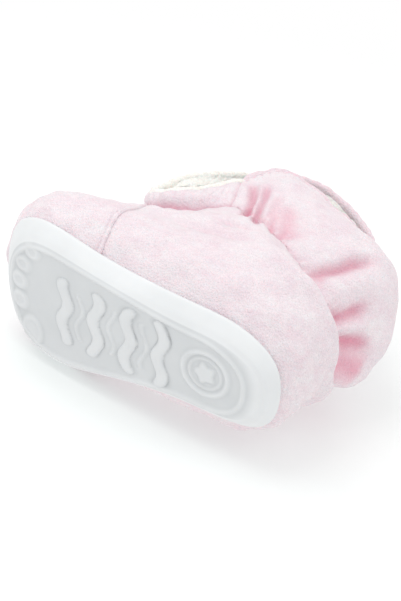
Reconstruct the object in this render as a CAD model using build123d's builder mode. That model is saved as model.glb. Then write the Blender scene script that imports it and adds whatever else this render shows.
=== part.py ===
"""Baby bootie, left foot: plush upper with a gathered ankle on a moulded rubber cup sole.

The bootie stands on its tread. +Z is up, the toe points towards -Y and the wearer's left, the outer side
of the foot, is +X. The origin is on the tread, under the middle of the foot. All lengths are millimetres.
"""
from build123d import *
import os
from math import asin, cos, radians, sin

# ---- the tread and the sole ---------------------------------------------------------------------
sole_length = 101.0        # tread, toe to heel, before the wall flares out
ball_width = 46.0          # tread across the ball of the foot
heel_width = 31.0          # tread across the heel
wall_height = 7.0          # rubber wall, tread to lip
wall_flare = 4.2           # how far the lip stands outside the tread edge
wall_thickness = 2.2
floor_thickness = 3.2      # rubber under the foot, relief included
toe_spring = 4.6           # lift of the tread's toe
relief = 0.8               # height of the moulded tread pattern
bead_width = 1.8           # raised line round the tread
bead_margin = 1.6          # from the tread edge to the bead
bar_length = 27.0          # cross bars under the arch and ball
bar_width = 4.6
bar_spacing = 13.0
bar_count = 4
ring_size = (8.5, 11.0)    # half width and half length of the oval ring under the heel
ring_line = 1.8
pad_radius = 4.4           # five-sided pad inside the ring
toe_dot = (2.8, 3.8)       # half sizes of the four small toe pads
toe_dot_spacing = 7.4
big_toe_dot = (4.4, 6.2)

# ---- what lies in the sole ------------------------------------------------------------------------
board_thickness = 1.2
foam_thickness = 3.0
insock_thickness = 2.5

# ---- layers of the upper, outside to inside ---------------------------------------------------------
plush_thickness = 1.2
wadding_thickness = 2.0
lining_thickness = 1.3
thread_thickness = 0.35
band_thickness = 0.8       # throat band and vamp seam stand this far proud
band_width = 8.0           # throat band
elastic_width = 6.0
hem_width = 3.0
welt_width = 2.4           # folded seam between vamp and quarter
thread_width = 0.7
seam_margin = 1.6          # from an edge to the thread that holds it

sole_curve_start = -12.0   # the tread is flat behind this y
lasting_margin = 0.4       # clearance from the upper's foot to the rubber wall

wall_inside = plush_thickness + wadding_thickness + lining_thickness

# ---- the seam from the sole to the throat, seen from the side -----------------------------------------
seam_foot = (-9.0, wall_height)            # (y, z) where it leaves the sole
seam_top = (-28.5, wall_height + 50.0)     # (y, z) where it meets the throat

# ---- the throat: the cut that opens the front of the shaft, seen from the side, (y, z) ------------------
throat_rise = [(-26.5, 51.0), (-17.0, 61.5), (-6.5, 75.0), (1.0, 88.0), (6.0, 99.0)]
throat_line = [(y, wall_height + z) for y, z in throat_rise]

# ---- stiff pieces inside the upper ------------------------------------------------------------------------
counter_front = 24.0       # the heel counter reaches forward to this y at the sole
counter_slant = 9.0        # and this much less at its top
counter_top = 26.0         # above the lip
puff_back = 12.5           # the toe puff reaches this far back from the toe of the tread
puff_slant = 6.0
puff_top = 33.0            # above the lip

# ---- sections of the upper above the sole, up to the rim ------------------------------------------------
# centre (x, y, height above the lip), how far it stands outside the tread at the toe and heel, at the ball
# and across the heel (less than nothing where it is narrower), how far its front end rises above its centre,
# and its lean in degrees (inner side up)
SECTIONS = {
    "swell": ((1.2, -0.8, 7.5), 7.3, 5.8, 7.9, -1.01, 0.0),
    "girth": ((2.4, -0.8, 18.0), 8.9, 6.4, 10.9, 1.04, 0.0),
    "toe_top": ((3.8, 2.4, 27.5), 6.3, 3.6, 11.9, 3.47, 0.0),
    "instep": ((4.6, 8.4, 34.6), 0.9, 0.8, 11.5, 6.26, 1.0),
    "throat": ((5.0, 14.0, 41.6), -4.5, -1.0, 10.5, 9.56, 2.0),
    "ankle": ((4.0, 17.0, 59.0), -6.5, -3.0, 6.0, 23.32, 6.0),
    "belly": ((4.0, 26.0, 76.0), -5.5, -0.5, 9.5, 20.43, 12.0),
    "rim": ((5.0, 24.5, 93.0), -13.5, -2.5, 5.5, 13.26, 20.0),
}


def section_plane(name):
    """The plane of a section: x_dir runs from toe to heel, y_dir towards the outer side."""
    (x, y, above_lip), ends, _, _, front_rise, lean = SECTIONS[name]
    tilt = asin(front_rise / (sole_length / 2 + ends))
    heelward = Vector(0, cos(tilt), -sin(tilt))
    outward = Vector(cos(radians(lean)), 0, -sin(radians(lean)))
    return Plane(origin=(x, y, wall_height + above_lip), x_dir=heelward, z_dir=outward.cross(heelward))


def section_points(half_length, ball, heel):
    """Half of a foot-shaped section, toe to heel, and its mirror image back to the toe."""
    side = [
        (-0.93 * half_length, 0.52 * ball),
        (-0.72 * half_length, 0.86 * ball),
        (-0.38 * half_length, ball),
        (0.10 * half_length, 0.5 * (ball + heel)),
        (0.52 * half_length, heel),
        (0.80 * half_length, 0.78 * heel),
        (0.95 * half_length, 0.44 * heel),
    ]
    toe, back = (-half_length, 0.0), (half_length, 0.0)
    return [toe] + [(u, -v) for u, v in side] + [back] + side[::-1]


def tread_points(outset):
    """The tread's outline, toe first, moved out by outset: fuller at the ball, and straighter inside."""
    half = sole_length / 2 + outset
    ball, heel = ball_width / 2 + outset, heel_width / 2 + outset
    return [
        (1.0, -half),
        (0.54 * ball, -0.95 * half),
        (0.90 * ball, -0.80 * half),
        (1.02 * ball, -0.54 * half),
        (0.90 * ball, -0.14 * half),
        (1.14 * heel, 0.34 * half),
        (1.04 * heel, 0.70 * half),
        (0.62 * heel, 0.93 * half),
        (0.10 * heel, half),
        (-0.44 * heel, 0.95 * half),
        (-0.78 * heel, 0.74 * half),
        (-0.86 * heel, 0.38 * half),
        (-0.80 * ball, -0.08 * half),
        (-ball, -0.50 * half),
        (-0.90 * ball, -0.76 * half),
        (-0.56 * ball, -0.93 * half),
    ]


def flare_at(height):
    """How far the sole's wall stands outside the tread edge at a height."""
    return wall_flare * height / wall_height


def upper_form(inset):
    """The solid form of foot and shaft, with every section drawn in by inset.

    Its two lowest sections follow the inside of the rubber wall, at the foot bed and at the lip.
    """
    with BuildPart() as form:
        for height in (floor_thickness, wall_height):
            with BuildSketch(Plane.XY.offset(height)):
                with BuildLine():
                    outset = flare_at(height) - wall_thickness - lasting_margin - inset
                    Spline(*tread_points(outset), periodic=True)
                make_face()
        for name in SECTIONS:
            _, ends, at_ball, at_heel, _, _ = SECTIONS[name]
            half_length = sole_length / 2 + ends - inset
            ball, heel = ball_width / 2 + at_ball - inset, heel_width / 2 + at_heel - inset
            with BuildSketch(section_plane(name)):
                with BuildLine():
                    Spline(*section_points(half_length, ball, heel), periodic=True)
                make_face()
        loft(ruled=True)
    return form.part


def rise(y):
    """Height of the tread at y: flat to the ball of the foot, then a parabola up to the toe."""
    reach = max(0.0, sole_curve_start - y)
    return toe_spring * (reach / (sole_length / 2 + sole_curve_start)) ** 2


def side_slab(low, high):
    """Everything between two heights above the tread, following its toe spring."""
    far = sole_length
    reach = [sole_curve_start - step * (far + sole_curve_start) / 4 for step in range(5)]
    with BuildPart() as slab:
        with BuildSketch(Plane.YZ):
            with BuildLine():
                under = Spline(*[(y, rise(y) + low) for y in reach], tangents=[(-1, 0), (-1, 1.2)])
                over = Spline(*[(y, rise(y) + high) for y in reach], tangents=[(-1, 0), (-1, 1.2)])
                Line(under @ 1, over @ 1)
                Line(under @ 0, (far, low))
                Line((far, low), (far, high))
                Line((far, high), over @ 0)
            make_face()
        extrude(amount=sole_length, both=True)
    return slab.part


def sole_form(outset, low, high):
    """The sole's plan, flared like its wall and moved out by outset, between two heights above the tread."""
    top = wall_height + 2 * toe_spring
    with BuildPart() as form:
        for height in (0.0, top):
            with BuildSketch(Plane.XY.offset(height)):
                with BuildLine():
                    Spline(*tread_points(outset + flare_at(height)), periodic=True)
                make_face()
        loft()
        add(side_slab(low, high), mode=Mode.INTERSECT)
    return form.part


def side_cut(points):
    """A block right across the bootie whose side view is the given (y, z) outline."""
    with BuildPart() as block:
        with BuildSketch(Plane.YZ):
            Polygon(*points, align=None)
        extrude(amount=sole_length, both=True)
    return block.part


def above_throat(margin):
    """All that lies above the throat line, the line first moved down into the fabric by margin."""
    line = [(y + 0.77 * margin, z - 0.64 * margin) for y, z in throat_line]
    front = (throat_line[0][0], throat_line[0][1] - margin)
    over = 2 * sole_length
    return side_cut([(-over, front[1]), front] + line[1:] + [(line[-1][0], over), (-over, over)])


seam_direction = Vector(0, seam_top[0] - seam_foot[0], seam_top[1] - seam_foot[1]).normalized()
seam_plane = Plane(origin=(0, *seam_foot), x_dir=(1, 0, 0), z_dir=seam_direction.cross(Vector(1, 0, 0)))
ankle_plane = section_plane("ankle")
rim_plane = section_plane("rim")


def slab_about(plane, low, high):
    """The space between two offsets of a plane."""
    with BuildPart() as slab:
        with BuildSketch(plane.offset(low)):
            Rectangle(4 * sole_length, 4 * sole_length)
        extrude(amount=high - low)
    return slab.part


forms = {}


def form(inset):
    """The upper's form at an inset, made once."""
    key = round(inset, 3)
    if key not in forms:
        forms[key] = upper_form(key)
    return forms[key]


board_low = floor_thickness
board_top = board_low + board_thickness
foam_top = board_top + foam_thickness
insock_top = foam_top + insock_thickness
below_upper = side_slab(-sole_length / 2, board_top)
mouth = above_throat(0)


def layer(outer, inner, foot=None):
    """One layer of the upper, between two insets, open at the sole, the throat and the rim."""
    with BuildPart() as shell:
        add(form(outer))
        add(form(inner), mode=Mode.SUBTRACT)
        add(below_upper if foot is None else foot, mode=Mode.SUBTRACT)
        add(mouth, mode=Mode.SUBTRACT)
    return shell.part


plush_in = plush_thickness
wadding_in = plush_in + wadding_thickness
plush = layer(0, plush_in)
wadding = layer(plush_in, wadding_in)
lining = layer(wadding_in, wall_inside)
above_wall = side_slab(-sole_length / 2, wall_height + lasting_margin)
overlay = layer(-band_thickness, 0, above_wall)
thread_layer = layer(-thread_thickness, 0, above_wall)

far = 4 * sole_length
hem_zone = slab_about(rim_plane, -hem_width, far)
collar_zone = slab_about(ankle_plane, 0, far)
foot_zone = slab_about(ankle_plane, -far, 0)
front_zone = slab_about(seam_plane, -far, 0)
back_zone = slab_about(seam_plane, 0, far)
throat_zone = above_throat(band_width)
throat_elastic_zone = above_throat(elastic_width + seam_margin)
ankle_elastic_zone = slab_about(ankle_plane, -elastic_width / 2, elastic_width / 2)
counter_height = wall_height + counter_top
heel_zone = side_cut([(counter_front, 0), (counter_front + counter_slant, counter_height),
                      (sole_length, counter_height), (sole_length, 0)])
puff_end, puff_height = puff_back - sole_length / 2, wall_height + puff_top
toe_zone = side_cut([(-sole_length, 0), (-sole_length, puff_height),
                     (puff_end - puff_slant, puff_height), (puff_end, 0)])

parts = {}


def piece(name, solid):
    """Names a finished piece and keeps it for writing."""
    solid.label = name
    parts[name] = solid


def cut_piece(name, source, keep=(), remove=()):
    """A piece cut from a layer: what lies in every zone of keep and in none of remove."""
    with BuildPart() as cutting:
        add(source)
        for zone in keep:
            add(zone, mode=Mode.INTERSECT)
        for zone in remove:
            add(zone, mode=Mode.SUBTRACT)
    piece(name, cutting.part)


# ---- rubber sole: cup, bead round the tread and moulded grip pattern ------------------------------------
with BuildPart() as pattern:
    with BuildSketch():
        with BuildLine():
            Spline(*tread_points(-bead_margin), periodic=True)
        make_face()
        with BuildLine():
            Spline(*tread_points(-bead_margin - bead_width), periodic=True)
        make_face(mode=Mode.SUBTRACT)
        with Locations((2.0, 0.32 * sole_length)):
            Ellipse(*ring_size)
            Ellipse(ring_size[0] - ring_line, ring_size[1] - ring_line, mode=Mode.SUBTRACT)
            RegularPolygon(pad_radius, 5, rotation=90)
        for bar in range(bar_count):
            with Locations((0.5, bar_spacing * (bar - bar_count / 2))):
                SlotOverall(bar_length, bar_width)
        for toe in range(4):
            with Locations((0.565 * ball_width / 2 - toe_dot_spacing * toe,
                            -0.40 * sole_length - 1.4 * min(toe, 3 - toe))):
                Ellipse(*toe_dot)
        with Locations((-0.61 * ball_width / 2, -0.32 * sole_length)):
            Ellipse(*big_toe_dot)
    extrude(amount=2 * toe_spring + floor_thickness)

with BuildPart() as recess:
    add(sole_form(1, -1, relief))
    add(pattern.part, mode=Mode.SUBTRACT)

with BuildPart() as upper_socket:
    add(form(-lasting_margin))
    add(side_slab(-2 * floor_thickness, floor_thickness), mode=Mode.SUBTRACT)

with BuildPart() as outsole:
    add(sole_form(0, 0, wall_height))
    add(recess.part, mode=Mode.SUBTRACT)
    add(sole_form(-wall_thickness, floor_thickness, 2 * wall_height), mode=Mode.SUBTRACT)
    add(upper_socket.part, mode=Mode.SUBTRACT)
piece("outsole", outsole.part)

# ---- what the foot stands on, from the rubber up -----------------------------------------------------
foot_room = form(wall_inside)
with BuildPart() as insole_board:
    add(side_slab(board_low, board_top))
    add(form(lasting_margin), mode=Mode.INTERSECT)
piece("insole_board", insole_board.part)

with BuildPart() as midsole_foam:
    add(side_slab(board_top, foam_top))
    add(foot_room, mode=Mode.INTERSECT)
piece("midsole_foam", midsole_foam.part)

with BuildPart() as insock:
    add(side_slab(foam_top, insock_top))
    add(foot_room, mode=Mode.INTERSECT)
piece("insock", insock.part)

# ---- toe cap ---------------------------------------------------------------------------------------
cut_piece("vamp_outer", plush, [front_zone])
cut_piece("vamp_wadding", wadding, [front_zone], [toe_zone, throat_elastic_zone])
cut_piece("vamp_lining", lining, [front_zone])
cut_piece("toe_puff", wadding, [toe_zone])

# ---- quarter, in one piece round the heel -------------------------------------------------------------
quarter_zone = [back_zone, foot_zone]
cut_piece("quarter_outer", plush, quarter_zone)
cut_piece("quarter_lining", lining, quarter_zone)
cut_piece("heel_counter", wadding, [heel_zone])
cut_piece("quarter_wadding", wadding, quarter_zone, [heel_zone, ankle_elastic_zone, throat_elastic_zone])

# ---- collar above the ankle gather ----------------------------------------------------------------------
cut_piece("collar_outer", plush, [collar_zone], [hem_zone])
cut_piece("collar_lining", lining, [collar_zone], [hem_zone])
cut_piece("collar_wadding", wadding, [collar_zone], [hem_zone, ankle_elastic_zone, throat_elastic_zone])
with BuildPart() as collar_hem:
    add(form(0))
    add(foot_room, mode=Mode.SUBTRACT)
    add(hem_zone, mode=Mode.INTERSECT)
    add(mouth, mode=Mode.SUBTRACT)
piece("collar_hem", collar_hem.part)

# ---- elastics, inside the upper ---------------------------------------------------------------------------
cut_piece("ankle_elastic", wadding, [ankle_elastic_zone], [throat_elastic_zone])
cut_piece("throat_elastic", wadding, [throat_elastic_zone, foot_zone])

# ---- throat band and vamp seam, proud of the plush ---------------------------------------------------
cut_piece("throat_band", overlay, [throat_zone, foot_zone, slab_about(seam_plane, -welt_width, far)])
cut_piece("vamp_seam_welt", overlay, [slab_about(seam_plane, -welt_width, 0)], [throat_zone])

# ---- sewing threads -----------------------------------------------------------------------------------
cut_piece("ankle_stitching", thread_layer, [slab_about(ankle_plane, -thread_width / 2, thread_width / 2)],
          [throat_zone])
cut_piece("hem_stitching", thread_layer,
          [slab_about(rim_plane, -hem_width - seam_margin - thread_width, -hem_width - seam_margin)])
with BuildPart() as strobel_stitching:
    add(side_slab(board_low, board_top))
    add(form(0), mode=Mode.INTERSECT)
    add(form(lasting_margin), mode=Mode.SUBTRACT)
piece("strobel_stitching", strobel_stitching.part)

os.makedirs("parts", exist_ok=True)
for name, solid in parts.items():
    export_step(solid, f"parts/{name}.step")
    print(f"{name:20s} {len(solid.solids())} solid, {solid.volume:9.1f} mm3")
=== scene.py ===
# %% [markdown]
# # A baby bootie
# The bootie is a left one: a pale pink velour upper, drawn in at the throat and the ankle by elastic, over a
# white moulded rubber sole. It stands on its tread in the frame, with +Z up, the toe towards -Y and the outer
# side of the foot towards +X. Lengths below are written in millimetres and turned to metres once, when a mesh
# is made.

# %% Load the frame
import math

import bpy
import numpy as np
from mathutils import Matrix, Vector


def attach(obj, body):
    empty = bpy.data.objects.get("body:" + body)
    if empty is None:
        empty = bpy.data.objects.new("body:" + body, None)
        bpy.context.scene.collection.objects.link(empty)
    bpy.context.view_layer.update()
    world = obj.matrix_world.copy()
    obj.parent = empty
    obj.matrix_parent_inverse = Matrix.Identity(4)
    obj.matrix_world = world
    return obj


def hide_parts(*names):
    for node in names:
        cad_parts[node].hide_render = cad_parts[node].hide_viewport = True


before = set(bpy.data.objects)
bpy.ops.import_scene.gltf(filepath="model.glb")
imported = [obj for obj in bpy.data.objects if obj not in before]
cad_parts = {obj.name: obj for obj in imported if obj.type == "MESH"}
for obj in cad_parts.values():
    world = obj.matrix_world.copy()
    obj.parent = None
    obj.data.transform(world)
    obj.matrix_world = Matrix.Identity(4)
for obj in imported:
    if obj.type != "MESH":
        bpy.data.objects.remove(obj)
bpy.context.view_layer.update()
MM = 0.001
rng = np.random.default_rng(17)

# %% [markdown]
# ## Smooth curves through a few points
# A shoemaker's last is drawn from a few measured sections. Here each section is a closed loop through a dozen
# points, and the skin between loops is another smooth curve. Blender's own curves could do this, but a cubic
# spline is one small linear system, and as an array it serves every piece at once.


# %% Splines
def closed_spline(points, at):
    """Smooth closed curve through points. The second derivatives solve a ring of three-term equations, and
    each span is then the usual cubic in its fraction f. `at` counts in spans, and may be any array."""
    points = np.asarray(points, float)
    count = len(points)
    ring = 4 * np.eye(count) + np.roll(np.eye(count), 1, 0) + np.roll(np.eye(count), -1, 0)
    flat = points.reshape(count, -1)
    bend = np.linalg.solve(ring, 6 * (np.roll(flat, 1, 0) - 2 * flat + np.roll(flat, -1, 0)))
    at = np.asarray(at, float) % count
    low = np.floor(at).astype(int) % count
    f = (at - np.floor(at))[..., None]
    high = (low + 1) % count
    value = (flat[low] * (1 - f) + flat[high] * f
             + bend[low] * ((1 - f) ** 3 - (1 - f)) / 6 + bend[high] * (f ** 3 - f) / 6)
    return value.reshape(at.shape + points.shape[1:])


def open_splines(knots, values, at):
    """Natural cubic splines, one for each column: knots and values are (k, n) and (k, n, 3), `at` is (m, n).
    The ends are free, so that a skin leaves its first and last loop without a curl."""
    k = knots.shape[0]
    gap = np.diff(knots, axis=0)
    slope = np.diff(values, axis=0) / gap[..., None]
    system = np.zeros((knots.shape[1], k, k))
    right = np.zeros((knots.shape[1], k, 3))
    system[:, 0, 0] = system[:, -1, -1] = 1
    for i in range(1, k - 1):
        system[:, i, i - 1] = gap[i - 1]
        system[:, i, i] = 2 * (gap[i - 1] + gap[i])
        system[:, i, i + 1] = gap[i]
        right[:, i] = 6 * (slope[i] - slope[i - 1])
    bend = np.linalg.solve(system, right).transpose(1, 0, 2)
    span = np.clip((at[:, None] >= knots[None, 1:-1]).sum(1), 0, k - 2)
    take = lambda a: np.take_along_axis(a, span.reshape(span.shape + (1,) * (a.ndim - 2)), 0)
    x0, x1, g = take(knots[:-1]), take(knots[1:]), take(gap)
    a, b = ((x1 - at) / g)[..., None], ((at - x0) / g)[..., None]
    g = g[..., None]
    return (a * take(values[:-1]) + b * take(values[1:])
            + ((a ** 3 - a) * take(bend[:-1]) + (b ** 3 - b) * take(bend[1:])) * g ** 2 / 6)


def smooth(low, high, x):
    """0 below low, 1 above high, and an s-shaped cubic between."""
    t = np.clip((x - low) / (high - low), 0, 1)
    return t * t * (3 - 2 * t)


# %% [markdown]
# ## The skin of the upper
# The real upper is cut flat, sewn, and pulled over a last, and then the elastic draws it in. What the eye
# reads is where it swells over the sole, where the ankle elastic pinches it, and how the collar flops back.
# Ten loops say that: two follow the rubber wall, four are foot-shaped sections, and the last four are drawn
# point by point, because elastic makes them lopsided.

# %% Loops, from the sole up
# millimetres; half is half the tread's length, spring the toe's lift, middle the tread's centre in y
SOLE = dict(wall=7.0, flare=4.2, rubber=2.2, floor=3.2, spring=4.6, half=52.7, ball=23.0, heel=15.5,
            curve_start=-12.0, middle=0.5)
WALL_GAP = 0.3  # between the cloth and the rubber


def tread_loop(outset):
    """The tread's outline moved out by outset: sixteen points, toe first, round by the outer side."""
    half, ball, heel = SOLE["half"] + outset, SOLE["ball"] + outset, SOLE["heel"] + outset
    points = np.array([
        (2.0, -half), (0.64 * ball, -0.95 * half), (0.97 * ball, -0.80 * half), (1.03 * ball, -0.54 * half),
        (0.90 * ball, -0.14 * half), (1.14 * heel, 0.34 * half), (1.06 * heel, 0.68 * half),
        (0.66 * heel, 0.93 * half), (0.02 * heel, half), (-0.60 * heel, 0.96 * half),
        (-0.94 * heel, 0.78 * half), (-0.97 * heel, 0.40 * half), (-0.80 * ball, -0.06 * half),
        (-ball, -0.50 * half), (-0.90 * ball, -0.76 * half), (-0.56 * ball, -0.93 * half)])
    return points + (0, SOLE["middle"])


def rise(y):
    """Toe spring: flat to the ball of the foot, then a parabola up to the toe."""
    reach = np.clip(SOLE["curve_start"] - y, 0, None)
    return SOLE["spring"] * (reach / (SOLE["half"] + SOLE["curve_start"])) ** 2


def wall_loop(height):
    """Twelve points just inside the rubber wall, at a height above the tread."""
    outset = SOLE["flare"] * height / SOLE["wall"] - SOLE["rubber"] - WALL_GAP
    flat = closed_spline(tread_loop(outset), np.arange(12) * 16 / 12)
    return np.c_[flat, rise(flat[:, 1]) + height]


def foot_loop(centre, half_length, ball, heel, tilt, inner):
    """Twelve points of a foot-shaped section: blunt at the toe, rounder at the heel, tilted front end up. The
    heel's inner side, on which the bootie lies, is fuller by the factor inner."""
    along = np.array([-1, -0.88, -0.52, 0.02, 0.52, 0.87, 1])
    width = np.array([0, 0.69 * ball, 0.98 * ball, 0.5 * (ball + heel), heel, 0.66 * heel, 0])
    far = width * np.array([1, 1, 1, 0.5 * (1 + inner), inner, 1.1 * inner, 1])
    a = np.r_[along, along[5:0:-1]] * half_length
    b = np.r_[width, -far[5:0:-1]]
    slope = math.radians(tilt)
    return np.c_[centre[0] + b, centre[1] + a * math.cos(slope), centre[2] - a * math.sin(slope)]


LOOPS = np.array([
    wall_loop(SOLE["floor"]),
    wall_loop(SOLE["wall"] - 0.6),
    foot_loop((1.6, 0.6, 14.5), 59.6, 29.4, 26.6, 0.6, 1.14),
    foot_loop((2.6, 0.4, 24.0), 60.8, 29.4, 28.2, 1.5, 1.14),
    foot_loop((3.6, 4.4, 31.8), 58.0, 23.8, 28.4, 4.7, 1.12),
    foot_loop((4.6, 11.8, 37.6), 51.6, 20.6, 28.4, 8.0, 1.10),
    # under the throat, round the widest part of the quarter
    [(8.5, -32.5, 54), (20, -17.5, 47.5), (26.5, -0.5, 47), (30, 17, 45), (29.5, 38, 40), (18, 58, 35),
     (1, 63.5, 33.5), (-18, 60.5, 35), (-29, 44, 40), (-28, 16, 48), (-19, -8, 57), (-4, -26, 58)],
    # the ankle elastic; at the front, the lower edge of the throat band
    [(8.5, -32.5, 62), (17.5, -15.5, 57), (22.5, 2, 61.5), (25.5, 15, 59.5), (24, 38, 47), (12, 55.5, 40.5),
     (-1, 59.5, 38.5), (-17, 58, 39), (-25, 43, 48), (-21, 17, 65), (-9, -7, 77), (0.5, -24, 72)],
    # the belly of the collar
    [(8.5, -35, 66.5), (19, -16.5, 61), (22.5, 0, 69), (25, 13, 82), (23, 38, 74), (15.5, 56.5, 72),
     (2, 65, 72), (-17, 66.5, 57), (-28, 50, 62), (-17, 22, 90), (-2, -6, 96), (5, -27, 80)],
    # the rim
    [(10, -34, 69.5), (17, -19.5, 69), (20, -5.5, 82.5), (20, 3.5, 97), (17, 26, 93), (12, 39, 91),
     (5, 43, 95), (3, 37, 105), (5, 21, 115), (8, 4, 114), (10.5, -12, 101), (10, -28, 87)],
])
ANKLE, BELLY, RIM = 7, 8, 9  # the last three loops, by number

# %% The skin as one fine grid
ROUND, UP = 960, 541
turn = np.arange(ROUND) * 12 / ROUND
rings = np.stack([closed_spline(loop, turn) for loop in LOOPS])
step = np.sqrt(np.linalg.norm(np.diff(rings, axis=0), axis=2)) + 0.3
knots = np.concatenate([np.zeros((1, ROUND)), np.cumsum(step, 0)])
levels = np.linspace(0, RIM, UP)
below = np.minimum(levels.astype(int), RIM - 1)
asked = knots[below] + (levels - below)[:, None] * (knots[below + 1] - knots[below])
skin = open_splines(knots, rings, asked)
around = np.roll(skin, -1, 1) - np.roll(skin, 1, 1)
upward = np.gradient(skin, axis=0)
skin_normal = np.cross(around, upward)
skin_normal /= np.linalg.norm(skin_normal, axis=2, keepdims=True)
print("skin", skin.shape, "box", skin.reshape(-1, 3).min(0).round(1), skin.reshape(-1, 3).max(0).round(1))


def lookup(grid, u, v):
    """Reads a grid at (u, v): u counts loop points round from the toe by the outer side, v counts loops."""
    column = (np.asarray(u) % 12) * ROUND / 12
    row = np.clip(np.asarray(v) / RIM, 0, 1) * (UP - 1)
    c0, r0 = np.floor(column).astype(int), np.minimum(np.floor(row).astype(int), UP - 2)
    fc, fr = (column - c0)[..., None], (row - r0)[..., None]
    c0, c1 = c0 % ROUND, (c0 + 1) % ROUND
    return ((grid[r0, c0] * (1 - fc) + grid[r0, c1] * fc) * (1 - fr)
            + (grid[r0 + 1, c0] * (1 - fc) + grid[r0 + 1, c1] * fc) * fr)


def on_skin(u, v, out):
    """Points at (u, v), standing `out` millimetres off the skin along its normal."""
    normal = lookup(skin_normal, u, v)
    normal /= np.linalg.norm(normal, axis=-1, keepdims=True)
    return lookup(skin, u, v) + normal * np.asarray(out)[..., None]

# %% [markdown]
# ## Camera, floor and light
# The bootie is shown lying on its inner side, so the camera looks up at the tread from below the heel, and is
# rolled until the outer side points up. A camera's pose is three directions, right, up and back, and here
# they come from a swing round the outer side's axis, a climb towards it, and a small roll.

# %% Camera
CLIMB, SWING, ROLL = (math.radians(a) for a in (36.2, 29.7, 4.5))
DISTANCE, LENS = 0.620, 111.4  # metres, and millimetres on a 36 mm sensor
AIM = Vector((12.6, 17.0, 20.3)) * MM
side, heelward, upright = Vector((1, 0, 0)), Vector((0, 1, 0)), Vector((0, 0, 1))
back = math.cos(CLIMB) * (math.sin(SWING) * heelward - math.cos(SWING) * upright) + math.sin(CLIMB) * side
flat_right = math.sin(SWING) * upright + math.cos(SWING) * heelward
flat_up = back.cross(flat_right)
right = math.cos(ROLL) * flat_right + math.sin(ROLL) * flat_up
top = math.cos(ROLL) * flat_up - math.sin(ROLL) * flat_right
pose = Matrix((right, top, back)).transposed().to_4x4()
pose.translation = AIM + DISTANCE * back
camera_data = bpy.data.cameras.new("camera")
camera_data.lens, camera_data.sensor_width, camera_data.sensor_fit = LENS, 36.0, "AUTO"
camera_data.clip_start, camera_data.clip_end = 0.05, 20.0
camera = bpy.data.objects.new("camera", camera_data)
camera.matrix_world = pose
bpy.context.collection.objects.link(camera)
bpy.context.scene.camera = camera


# %% Colours and nodes
def hue(code):
    """sRGB hex to linear red, green, blue and alpha."""
    parts = [int(code[i:i + 2], 16) / 255 for i in (1, 3, 5)]
    return tuple(c / 12.92 if c <= 0.04045 else ((c + 0.055) / 1.055) ** 2.4 for c in parts) + (1.0,)


def node(tree, kind, links=(), **settings):
    """Adds a node. A setting named in_N or in_Name goes to that input, any other to the node itself; links
    are (this node's input, other node's output) pairs."""
    made = tree.nodes.new("ShaderNode" + kind)
    for name, value in settings.items():
        if name.startswith("in_"):
            key = name[3:]
            made.inputs[int(key) if key.isdigit() else key.replace("_", " ")].default_value = value
        else:
            setattr(made, name, value)
    for to, source in links:
        tree.links.new(source, made.inputs[to])
    return made


def new_material(name):
    """A material with its output, a Principled shader, and the object's own coordinates to place patterns."""
    material = bpy.data.materials.new(name)
    material.use_nodes = True
    tree = material.node_tree
    tree.nodes.clear()
    surface = tree.nodes.new("ShaderNodeBsdfPrincipled")
    output = tree.nodes.new("ShaderNodeOutputMaterial")
    tree.links.new(surface.outputs[0], output.inputs[0])
    return material, tree, surface, node(tree, "TexCoord").outputs["Object"]


def dress(tree, surface, **inputs):
    """Sets the shader's inputs: an output of another node is linked, and anything else is the value."""
    for name, value in inputs.items():
        socket = surface.inputs[name.replace("_", " ")]
        if isinstance(value, bpy.types.NodeSocket):
            tree.links.new(value, socket)
        else:
            socket.default_value = value


# %% Mesh makers
def add_mesh(name, points, faces, material):
    """A smooth-shaded mesh object from points in millimetres and an (n, 3) or (n, 4) array of corners."""
    mesh = bpy.data.meshes.new(name)
    points, faces = np.asarray(points, float).reshape(-1, 3) * MM, np.asarray(faces)
    mesh.vertices.add(len(points))
    mesh.vertices.foreach_set("co", points.ravel())
    corners = faces.shape[1]
    mesh.loops.add(faces.size)
    mesh.loops.foreach_set("vertex_index", faces.ravel())
    mesh.polygons.add(len(faces))
    mesh.polygons.foreach_set("loop_start", np.arange(len(faces)) * corners)
    mesh.polygons.foreach_set("loop_total", np.full(len(faces), corners))
    mesh.update(calc_edges=True)
    mesh.validate()
    mesh.shade_smooth()
    mesh.materials.append(material)
    piece = bpy.data.objects.new(name, mesh)
    bpy.context.collection.objects.link(piece)
    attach(piece, "root")
    return piece


def grid_faces(rows, cols, wrap=False, first=0):
    """Quads of a rows x cols grid of points numbered row by row, joined round when wrap is true."""
    r, c = np.meshgrid(np.arange(rows - 1), np.arange(cols if wrap else cols - 1), indexing="ij")
    a, b = r * cols + c, r * cols + (c + 1) % cols
    return first + np.stack([a, b, b + cols, a + cols], -1).reshape(-1, 4)


def fan(row, cols, pole, flip):
    """Triangles from one closed row of a grid to a single point, the pole."""
    start = row * cols
    a, b = start + np.arange(cols), start + (np.arange(cols) + 1) % cols
    tris = np.stack([a, b, np.full(cols, pole)], -1)
    return tris[:, ::-1] if flip else tris


def halves(quads):
    """Each quad as two triangles."""
    return np.concatenate([quads[:, [0, 1, 2]], quads[:, [0, 2, 3]]])


def set_colour(piece, name, values):
    """Stores one number per point, for a material to read as an attribute."""
    layer = piece.data.attributes.new(name, "FLOAT", "POINT")
    layer.data.foreach_set("value", np.asarray(values, float).ravel())


# %% [markdown]
# ## Folds, tucks and gathers
# Elastic shortens a line of the cloth without shortening what is beside it, so the cloth stands up in tucks
# across that line, and the big folds of the collar start from it. Each fold is a short path over the skin: it
# sinks the cloth by a bell-shaped amount across the path and fades at the path's ends. Everything adds up in
# one field of heights, and every layer, from the plush to the lining, follows the same field.

# %% The field of heights
field = np.zeros(skin.shape[:2])
# painted shade in the folds: how far each point's colour turns to a deeper pink
fold_shade = np.zeros(skin.shape[:2])


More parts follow.
